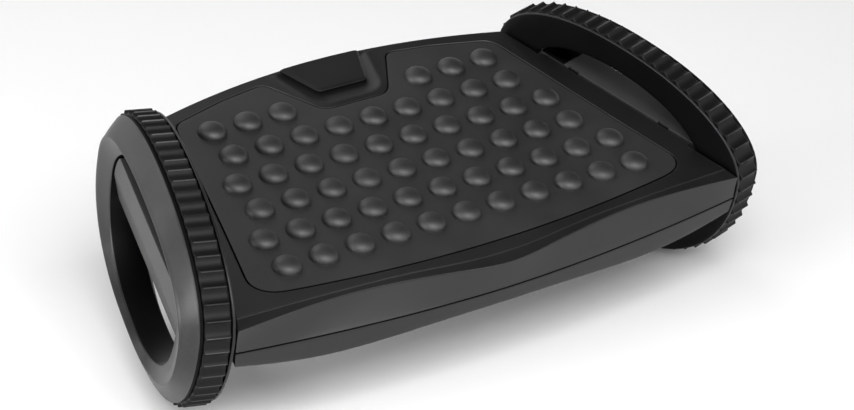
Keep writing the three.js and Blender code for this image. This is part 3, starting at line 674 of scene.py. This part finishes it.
def end_block(s, side):
    back_u, front_u = block_edge()
    r = 1.3
    a = np.linspace(0, math.pi / 2, 6)
    low = BLOCK_BOTTOM + r * (1 - np.cos(a))
    high = BLOCK_TOP - r * (1 - np.cos(a[::-1]))
    mid = np.concatenate([np.linspace(BLOCK_BOTTOM + r, -22.3, 12)[1:], [-21.9, -21.6, -21.3, -20.9], np.linspace(-20.2, BLOCK_TOP - r, 12)[:-1]])
    v = np.concatenate([low, mid, high])
    inset = np.concatenate([r * (1 - np.sin(a)), np.zeros(len(mid)), r * (1 - np.sin(a[::-1]))])
    ub, uf = back_u(v) - inset, front_u(v) + inset

    def face(vv):
        # the outer face and its lower slope
        t = np.clip((-21.6 - vv) / (-21.6 - BLOCK_BOTTOM), 0, 1)
        return BLOCK_W - 4.8 * t

    # the top run, back to front, with doubled points at each notch's ends
    marks = [(ub[-1], 0), (RECESS[1], 0), (RECESS[1], 0), (POCKET[1], 3), (POCKET[1], 1), (RECESS[0], 1), (RECESS[0], 1)]
    for c in CATCHES[::-1]:
        marks += [(c + CATCH_HALF, 1), (c + CATCH_HALF, 2), (c - CATCH_HALF, 2), (c - CATCH_HALF, 1)]
    marks += [(POCKET[0], 1), (POCKET[0], 3), (uf[-1], 0)]
    run, tag = [], []
    for (u0, t0), (u1, t1) in zip(marks, marks[1:]):
        if u0 == u1:
            run.append(u0)
            tag.append(t0)
            continue
        kind = 0 if 0 in (t0, t1) else max(t0, t1) if 3 not in (t0, t1) else 0
        k = max(2, int(abs(u1 - u0) / 4))
        us = np.linspace(u0, u1, k, endpoint=False)
        run += list(us)
        tag += [t0] + [kind] * (k - 1)
    run, tag = np.array(run[1:]), np.array(tag[1:])
    inside = (tag == 1) | (tag == 2)
    recess = (run > RECESS[0] + 1e-6) & (run < RECESS[1] - 1e-6)
    recess[np.flatnonzero(np.isclose(run, RECESS[1]))[-1]] = True
    recess[np.flatnonzero(np.isclose(run, RECESS[0]))[0]] = True
    m = len(run)
    t_of = (run - uf[-1]) / (ub[-1] - uf[-1])

    def ring(wf, d, mode):
        top = np.full(m, BLOCK_TOP - d)
        if mode == "notch":
            top = np.where(tag == 2, BLOCK_TOP - 7.0, top)
        if mode == "recess":
            top = np.where(recess, BLOCK_TOP - 15.0, top)
        vv = np.clip(v, BLOCK_BOTTOM + d, BLOCK_TOP - d)
        back = np.column_stack([ub - d, vv])
        front = np.column_stack([uf + d, vv])[::-1]
        upper = np.column_stack([run, top])
        # the underside's pocket, which leaves the top and the walls thin
        low_v = np.where(inside[::-1] & (mode in ("pocket", "recess")), BLOCK_TOP - 3.0, BLOCK_BOTTOM + d)
        if mode == "recess":
            low_v = np.where((recess & inside)[::-1], BLOCK_TOP - 17.5, low_v)
        lower = np.column_stack([uf[0] + (ub[0] - uf[0]) * t_of[::-1], low_v])
        p = np.vstack([back, upper, front, lower])
        w = np.full(len(p), wf) if wf <= 12 else BLOCK_W + 0 * p[:, 0]
        if wf > 12:
            w = face(p[:, 1]) - (BLOCK_W - wf)
        return np.column_stack([p, w])

    rings = [ring(BLOCK_IN, 0.5, "notch"), ring(BLOCK_IN + 0.15, 0.15, "notch"), ring(BLOCK_IN + 0.5, 0.0, "notch"),
             ring(BLOCK_IN + 2.1, 0.0, "notch"), ring(BLOCK_IN + 2.1, 0.0, "full"), ring(BLOCK_IN + 3.0, 0.0, "full"),
             ring(BLOCK_IN + 3.0, 0.0, "pocket"), ring(BLOCK_IN + 3.0, 0.0, "recess"), ring(12.0, 0.0, "recess"),
             ring(BLOCK_W - 4.4, 0.0, "recess"), ring(BLOCK_W - 4.4, 0.0, "pocket"), ring(BLOCK_W - 3.0, 0.0, "pocket"),
             ring(BLOCK_W - 3.0, 0.0, "full"), ring(BLOCK_W - 0.6, 0.0, "full"), ring(BLOCK_W - 0.2, 0.12, "full"), ring(BLOCK_W, 0.5, "full")]
    n = len(rings[0])
    verts, faces = loft(rings, caps=False)
    faces.append(tuple(range(n - 1, -1, -1)))
    # the outer face: rows from the lower edge to the upper one
    base = (len(rings) - 1) * n
    last = rings[-1]
    rows = len(v)
    grid = np.zeros((rows, m + 2), int)
    extra = []
    start = len(verts)
    for k in range(rows):
        i_back, i_front = base + k, base + rows + m + (rows - 1 - k)
        grid[k, 0], grid[k, -1] = i_back, i_front
        if k == rows - 1:
            grid[k, 1:-1] = base + rows + np.arange(m)
        elif k == 0:
            grid[k, 1:-1] = (base + 2 * rows + m + np.arange(m))[::-1]
        else:
            pb, pf = last[k], last[rows + m + (rows - 1 - k)]
            for c in range(m):
                grid[k, 1 + c] = start + len(extra)
                q = pf[:2] + (pb[:2] - pf[:2]) * t_of[c]
                extra.append([q[0], q[1], float(face(q[1]))])
    for k in range(rows - 1):
        for c in range(m + 1):
            faces.append((grid[k, c], grid[k, c + 1], grid[k + 1, c + 1], grid[k + 1, c]))
    verts = np.vstack([verts, extra])
    return make(f"{side}_end_block_form", wheel_to_deck(s, verts), faces, sharp=22)


# ---------------------------------------------------------------- materials
def nodes_of(name):
    m = bpy.data.materials.new(name)
    m.use_nodes = True
    nt = m.node_tree
    nt.nodes.clear()
    out = nt.nodes.new("ShaderNodeOutputMaterial")
    bsdf = nt.nodes.new("ShaderNodeBsdfPrincipled")
    nt.links.new(bsdf.outputs["BSDF"], out.inputs["Surface"])
    tc = nt.nodes.new("ShaderNodeTexCoord")
    return m, nt, bsdf, tc


def noise(nt, tc, scale, detail=3.0, rough=0.5):
    n = nt.nodes.new("ShaderNodeTexNoise")
    n.inputs["Scale"].default_value = scale
    n.inputs["Detail"].default_value = detail
    n.inputs["Roughness"].default_value = rough
    nt.links.new(tc.outputs["Object"], n.inputs["Vector"])
    return n


def plastic(name, dark, light, rough=(0.4, 0.5), grain=900.0, grain_depth=0.12, grain_mm=0.05, cloud=14.0, specular=0.5,
            coat=0.0, coat_rough=0.3, voronoi=False):
    m, nt, bsdf, tc = nodes_of(name)
    big = noise(nt, tc, cloud, 4.0, 0.6)
    fine = noise(nt, tc, grain, 2.0, 0.6)
    mixf = nt.nodes.new("ShaderNodeMath")
    mixf.operation = "MULTIPLY_ADD"
    nt.links.new(fine.outputs["Fac"], mixf.inputs[0])
    mixf.inputs[1].default_value = 0.5
    nt.links.new(big.outputs["Fac"], mixf.inputs[2])
    ramp = nt.nodes.new("ShaderNodeValToRGB")
    ramp.color_ramp.elements[0].position = 0.5
    ramp.color_ramp.elements[1].position = 1.0
    ramp.color_ramp.elements[0].color = (*dark, 1)
    ramp.color_ramp.elements[1].color = (*light, 1)
    nt.links.new(mixf.outputs[0], ramp.inputs["Fac"])
    nt.links.new(ramp.outputs["Color"], bsdf.inputs["Base Color"])
    rr = nt.nodes.new("ShaderNodeMapRange")
    rr.inputs["From Min"].default_value = 0.3
    rr.inputs["From Max"].default_value = 0.7
    rr.inputs["To Min"].default_value = rough[0]
    rr.inputs["To Max"].default_value = rough[1]
    nt.links.new(big.outputs["Fac"], rr.inputs["Value"])
    nt.links.new(rr.outputs["Result"], bsdf.inputs["Roughness"])
    if voronoi:
        v = nt.nodes.new("ShaderNodeTexVoronoi")
        v.feature = "SMOOTH_F1"
        v.inputs["Scale"].default_value = grain
        nt.links.new(tc.outputs["Object"], v.inputs["Vector"])
        height = v.outputs["Distance"]
    else:
        height = fine.outputs["Fac"]
    bump = nt.nodes.new("ShaderNodeBump")
    bump.inputs["Strength"].default_value = grain_depth
    bump.inputs["Distance"].default_value = grain_mm * 0.001
    nt.links.new(height, bump.inputs["Height"])
    nt.links.new(bump.outputs["Normal"], bsdf.inputs["Normal"])
    bsdf.inputs["Specular IOR Level"].default_value = specular
    if coat:
        bsdf.inputs["Coat Weight"].default_value = coat
        bsdf.inputs["Coat Roughness"].default_value = coat_rough
    return m


def steel(name):
    m, nt, bsdf, tc = nodes_of(name)
    n = noise(nt, tc, 420.0, 3.0, 0.6)
    ramp = nt.nodes.new("ShaderNodeValToRGB")
    ramp.color_ramp.elements[0].color = (0.32, 0.32, 0.33, 1)
    ramp.color_ramp.elements[1].color = (0.5, 0.5, 0.51, 1)
    nt.links.new(n.outputs["Fac"], ramp.inputs["Fac"])
    nt.links.new(ramp.outputs["Color"], bsdf.inputs["Base Color"])
    bsdf.inputs["Metallic"].default_value = 1.0
    rr = nt.nodes.new("ShaderNodeMapRange")
    rr.inputs["To Min"].default_value = 0.25
    rr.inputs["To Max"].default_value = 0.45
    nt.links.new(n.outputs["Fac"], rr.inputs["Value"])
    nt.links.new(rr.outputs["Result"], bsdf.inputs["Roughness"])
    return m


M_SHELL = plastic("shell_plastic", (0.0014, 0.0012, 0.0014), (0.0026, 0.0023, 0.0026), (0.42, 0.50), 1500.0, 0.35, 0.06, specular=0.6)
M_MAT = plastic("mat_rubber", (0.0130, 0.0129, 0.0129), (0.0205, 0.0203, 0.0202), (0.48, 0.58), 1300.0, 0.5, 0.1, voronoi=True, specular=0.45)
M_DOME = plastic("dome_rubber", (0.0042, 0.0041, 0.0042), (0.0068, 0.0067, 0.0067), (0.48, 0.57), 1300.0, 0.3, 0.05, specular=0.85)
M_BADGE = plastic("badge_plastic", (0.0050, 0.0047, 0.0050), (0.0084, 0.0080, 0.0084), (0.36, 0.44), 1500.0, 0.2, 0.04, specular=0.35)
M_HOOP = plastic("hoop_plastic", (0.0012, 0.0012, 0.0015), (0.0024, 0.0024, 0.0029), (0.38, 0.46), 900.0, 0.2, 0.05, specular=0.16)
M_TRIM = plastic("trim_plastic", (0.0085, 0.0085, 0.0090), (0.0330, 0.0330, 0.0345), (0.32, 0.44), 1100.0, 0.18, 0.04, cloud=22.0, specular=0.45)
M_TYRE = plastic("tyre_rubber", (0.0031, 0.0029, 0.0028), (0.0056, 0.0053, 0.0050), (0.44, 0.56), 1000.0, 0.4, 0.08, specular=0.2)
M_BLOCK = plastic("block_plastic", (0.0410, 0.0413, 0.0405), (0.0640, 0.0643, 0.0630), (0.36, 0.46), 900.0, 0.2, 0.05, specular=0.15)
M_CATCH = plastic("catch_plastic", (0.0010, 0.0010, 0.0010), (0.0022, 0.0022, 0.0022), (0.5, 0.6), 900.0, 0.2, 0.05, specular=0.15)
M_LOWER = plastic("lower_shell_plastic", (0.0016, 0.0015, 0.0016), (0.0028, 0.0026, 0.0028), (0.42, 0.50), 1500.0, 0.35, 0.06, specular=0.48)
# painted shade: a near-black finish laid on walls in grooves, gaps and recesses and under the badge plate's edge, where
# shade falls
M_PAINTED_SHADE = plastic("groove_shade", (0.0008, 0.0008, 0.0008), (0.0016, 0.0016, 0.0016), (0.55, 0.65), 900.0, 0.2, 0.05, specular=0.1)
# painted highlight: a lighter finish along the hoop flange's rounded edge
M_EDGE_HIGHLIGHT = plastic("flange_edge_painted_highlight", (0.0080, 0.0080, 0.0086), (0.0140, 0.0140, 0.0148), (0.34, 0.42), 900.0, 0.15, 0.04, specular=0.3)
# painted highlight: a lighter, glossier finish on the tyre's ridge tops
M_RIDGE_HIGHLIGHT = plastic("tyre_ridge_painted_highlight", (0.0240, 0.0237, 0.0233), (0.0400, 0.0395, 0.0389), (0.42, 0.52), 1000.0, 0.3, 0.05, specular=0.45)
M_STEEL = steel("zinc_plate")


def place(o, material, body, slot, *nodes):
    o.data.materials.clear()
    o.data.materials.append(material)
    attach(o, body)
    if nodes:
        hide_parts(*nodes)
    return o


def finish_where(o, material, test):
    """A further finish for the faces whose centre and normal, in the deck's frame, pass the test."""
    o.data.materials.append(material)
    slot = len(o.data.materials) - 1
    n = len(o.data.polygons)
    c, nn = np.empty(n * 3), np.empty(n * 3)
    o.data.polygons.foreach_get("center", c)
    o.data.polygons.foreach_get("normal", nn)
    p = (c.reshape(-1, 3) * 1000.0 - OFFSET) @ ROT
    k = test(p, nn.reshape(-1, 3) @ ROT)
    index = np.empty(n, np.int32)
    o.data.polygons.foreach_get("material_index", index)
    o.data.polygons.foreach_set("material_index", np.where(k, slot, index).astype(np.int32))
    o.data.update()
    return o


def on_dome(p, nn):
    hit = np.zeros(len(p), bool)
    for r, xs in enumerate(DOME_ROWS):
        for k in xs:
            hit |= (np.hypot(p[:, 0] - k * U, p[:, 1] - (2.5 - r) * ROW) < DOME_R + 0.12) & (p[:, 2] > 0.02)
    return hit


# the mat's side walls, which take the painted shade finish: a dark shade line in the groove round the mat
def mat_rim(p, nn):
    return (p[:, 2] < -0.12) & (p[:, 2] > -MAT_T - 1)


# the trim ring's side wall next to the tyre, which takes the painted shade finish: the shade in the gap between trim
# and tyre
def trim_wall(s):
    a, c = TOE, CAMBER
    out = np.array([s * math.cos(a) * math.cos(c), math.sin(a) * math.cos(c), math.sin(c)])
    return lambda p, nn: ((p - [s * HALF_WIDTH, 0, 0]) @ out < HOOP_W + 3.0) & (np.abs(nn @ out) < 0.9)


# the walls and floor of the block's rear recess, which take the painted shade finish: the recess painted near-black as
# shade
def in_recess(s):
    a, c = TOE, CAMBER
    d = np.array([-s * math.sin(a), math.cos(a), 0])
    out = np.array([s * math.cos(a) * math.cos(c), math.sin(a) * math.cos(c), math.sin(c)])
    up = np.array([-s * math.cos(a) * math.sin(c), -math.sin(a) * math.sin(c), math.cos(c)])

    def test(p, nn):
        q = p - [s * HALF_WIDTH, 0, 0]
        u, v, w = q @ d, q @ up, q @ out
        return (u > RECESS[0] - 0.5) & (u < RECESS[1] + 9) & ((v < BLOCK_TOP - 0.5) | (u > RECESS[1] - 0.4) | (w < 6.6)) & (v > BLOCK_TOP - 16) & (w < BLOCK_W - 4)

    return test


# the rounded edge of the hoop's flange, which takes the painted highlight finish: a light line along the rim
def flange_edge(s):
    a, c = TOE, CAMBER
    d = np.array([-s * math.sin(a), math.cos(a), 0])
    out = np.array([s * math.cos(a) * math.cos(c), math.sin(a) * math.cos(c), math.sin(c)])
    up = np.array([-s * math.cos(a) * math.sin(c), -math.sin(a) * math.sin(c), math.cos(c)])

    def test(p, nn):
        q = p - [s * HALF_WIDTH, 0, 0]
        uv, w = np.column_stack([q @ d, q @ up]), q @ out
        near = np.array([np.min(np.hypot(*(RIM - x).T)) for x in uv]) < 1.15
        return near & (w < 2.2)

    return test


# the tops of the tyre's ridges, which take the painted highlight finish: a light line on each ridge
def on_ridge(s):
    a, c = TOE, CAMBER
    d = np.array([-s * math.sin(a), math.cos(a), 0])
    up = np.array([-s * math.cos(a) * math.sin(c), -math.sin(a) * math.sin(c), math.cos(c)])
    tip = offset(RIM, 2.62)

    def test(p, nn):
        q = p - [s * HALF_WIDTH, 0, 0]
        uv = np.column_stack([q @ d, q @ up])
        out = np.empty(len(uv), bool)
        for i in range(0, len(uv), 4000):
            gap = np.hypot(uv[i : i + 4000, None, 0] - tip[None, :, 0], uv[i : i + 4000, None, 1] - tip[None, :, 1]).min(axis=1)
            out[i : i + 4000] = gap < 0.95
        return out

    return test


# the trim's inner wall round the hand opening, which takes the hoop's dark plastic: painted shade inside the opening
def in_opening(s):
    a, c = TOE, CAMBER
    d = np.array([-s * math.sin(a), math.cos(a), 0])
    out = np.array([s * math.cos(a) * math.cos(c), math.sin(a) * math.cos(c), math.sin(c)])
    up = np.array([-s * math.cos(a) * math.sin(c), -math.sin(a) * math.sin(c), math.cos(c)])

    def test(p, nn):
        q = p - [s * HALF_WIDTH, 0, 0]
        u, v, w = q @ d + 4.86, q @ up + 24.15, q @ out
        near = (np.abs(u) / 89.4) ** 2.2 + (np.abs(v) / np.where(v > 0, 48.0, 65.9)) ** 2.2 < 1.04
        return near & (np.abs(nn @ out) < 0.35) & (w < RIDGE_W - LIP_DROP - 0.4)

    return test


place(top_shell(), M_SHELL, "platform", "shell", "top_shell")
place(bottom_shell(), M_LOWER, "platform", "shell", "bottom_shell")
place(seam_filler(), M_CATCH, "platform", "shell")
# the mat: painted shade on its side walls in the groove round it
finish_where(finish_where(place(massage_mat(), M_MAT, "platform", "mat", "massage_mat"), M_DOME, on_dome), M_PAINTED_SHADE, mat_rim)
# the badge plate: painted shade under its raised edge, where its side and front walls take the painted shade finish
finish_where(place(badge_plate(), M_BADGE, "platform", "badge", "badge_plate"), M_PAINTED_SHADE, lambda p, nn: (p[:, 2] < 1.2) & (p[:, 1] < back_y(p[:, 0]) - 3))
for s, side in ((-1, "left"), (1, "right")):
    finish_where(place(hoop(s, side), M_HOOP, f"{side}_wheel", "hoop", f"{side}_wheel_hoop"), M_EDGE_HIGHLIGHT, flange_edge(s))
    finish_where(place(tyre(s, side), M_TYRE, f"{side}_wheel", "tyre", f"{side}_tyre"), M_RIDGE_HIGHLIGHT, on_ridge(s))
    ring = place(trim_ring(s, side), M_TRIM, f"{side}_wheel", "trim", f"{side}_trim_ring")
    # the trim ring: painted shade on its inner wall round the hand opening and in the gap by the tyre
    finish_where(finish_where(ring, M_HOOP, in_opening(s)), M_PAINTED_SHADE, trim_wall(s))
    # the end block: painted shade in its rear recess
    finish_where(place(end_block(s, side), M_BLOCK, "platform", "block", f"{side}_end_block"), M_PAINTED_SHADE, in_recess(s))

for name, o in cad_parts.items():
    m = M_STEEL if "screw" in name else M_CATCH if "catch" in name else None
    if m:
        o.data.materials.clear()
        o.data.materials.append(m)

# ---------------------------------------------------------------- camera
F_PX = 2990.78
cam_data = bpy.data.cameras.new("camera")
cam_data.sensor_width = 36.0
cam_data.lens = F_PX * 36.0 / 854.0
cam = bpy.data.objects.new("camera", cam_data)
bpy.context.collection.objects.link(cam)
right = np.array([0.8334, -0.5393, 0.1208])
down = np.array([-0.2467, -0.5586, -0.7919])
fwd = np.array([0.4945, 0.6302, -0.5986])
centre = np.array([-36.045, -47.001, 42.7 + 0.08]) * U
basis = ROT @ np.column_stack([right, -down, -fwd])
q, r = np.linalg.qr(basis)
basis = q * np.sign(np.diag(r))
pos = to_row(centre)
cam.matrix_world = Matrix([[*basis[0], pos[0]], [*basis[1], pos[1]], [*basis[2], pos[2]], [0, 0, 0, 1]])
cam_data.clip_end = 50
bpy.context.scene.camera = cam

# ---------------------------------------------------------------- floor and light
me = bpy.data.meshes.new("floor")
me.from_pydata([(-8, -8, 0), (8, -8, 0), (8, 8, 0), (-8, 8, 0)], [], [(0, 1, 2, 3)])
floor = bpy.data.objects.new("floor", me)
bpy.context.collection.objects.link(floor)
fm, fnt, fb, ftc = nodes_of("floor_paint")
fn = noise(fnt, ftc, 2.0, 3.0, 0.5)
framp = fnt.nodes.new("ShaderNodeValToRGB")
framp.color_ramp.elements[0].color = (0.9, 0.9, 0.9, 1)
framp.color_ramp.elements[1].color = (0.93, 0.93, 0.93, 1)
fnt.links.new(fn.outputs["Fac"], framp.inputs["Fac"])
fnt.links.new(framp.outputs["Color"], fb.inputs["Base Color"])
fb.inputs["Roughness"].default_value = 0.9
fb.inputs["Specular IOR Level"].default_value = 0.1
me.materials.append(fm)

world = bpy.data.worlds.new("studio")
bpy.context.scene.world = world
world.use_nodes = True
world.node_tree.nodes["Background"].inputs["Strength"].default_value = 1.0
wnt = world.node_tree
wtc = wnt.nodes.new("ShaderNodeTexCoord")
wsep = wnt.nodes.new("ShaderNodeSeparateXYZ")
wramp = wnt.nodes.new("ShaderNodeValToRGB")
wnt.links.new(wtc.outputs["Generated"], wsep.inputs[0])
wnt.links.new(wsep.outputs["Z"], wramp.inputs["Fac"])
wnt.links.new(wramp.outputs["Color"], wnt.nodes["Background"].inputs["Color"])
wramp.color_ramp.elements[0].position = 0.12
wramp.color_ramp.elements[0].color = (1.15, 1.15, 1.15, 1)
wramp.color_ramp.elements[1].position = 0.45
wramp.color_ramp.elements[1].color = (0.05, 0.05, 0.053, 1)


def area(name, loc, target, size, power, size_y=None):
    d = bpy.data.lights.new(name, "AREA")
    d.shape = "RECTANGLE"
    d.size = size
    d.size_y = size_y or size
    d.energy = power
    o = bpy.data.objects.new(name, d)
    o.location = loc
    o.rotation_euler = (Vector(target) - Vector(loc)).to_track_quat("-Z", "Y").to_euler()
    bpy.context.collection.objects.link(o)
    return o


def aim(azimuth, elevation, distance):
    """A place seen from the object at an azimuth (0 is the back, 90 the right) and elevation."""
    a, e = math.radians(azimuth), math.radians(elevation)
    return (distance * math.sin(a) * math.cos(e), distance * math.cos(a) * math.cos(e), distance * math.sin(e) + 0.1)


TARGET = (0, 0, 0.1)
area("key_box", aim(-165, 50, 2.2), TARGET, 1.5, 40, 1.3)
area("front_box", aim(178, 28, 2.2), TARGET, 2.2, 10, 1.0)
area("front_right_box", aim(146, 29, 2.2), TARGET, 2.0, 8, 1.1)
area("left_box", aim(-90, 18, 2.2), TARGET, 1.6, 26, 0.7)
area("left_high_box", aim(-90, 47, 2.2), TARGET, 1.6, 11, 1.3)
area("back_box", aim(0, 45, 2.2), TARGET, 1.6, 10, 1.2)

bpy.context.scene.view_settings.view_transform = "Standard"
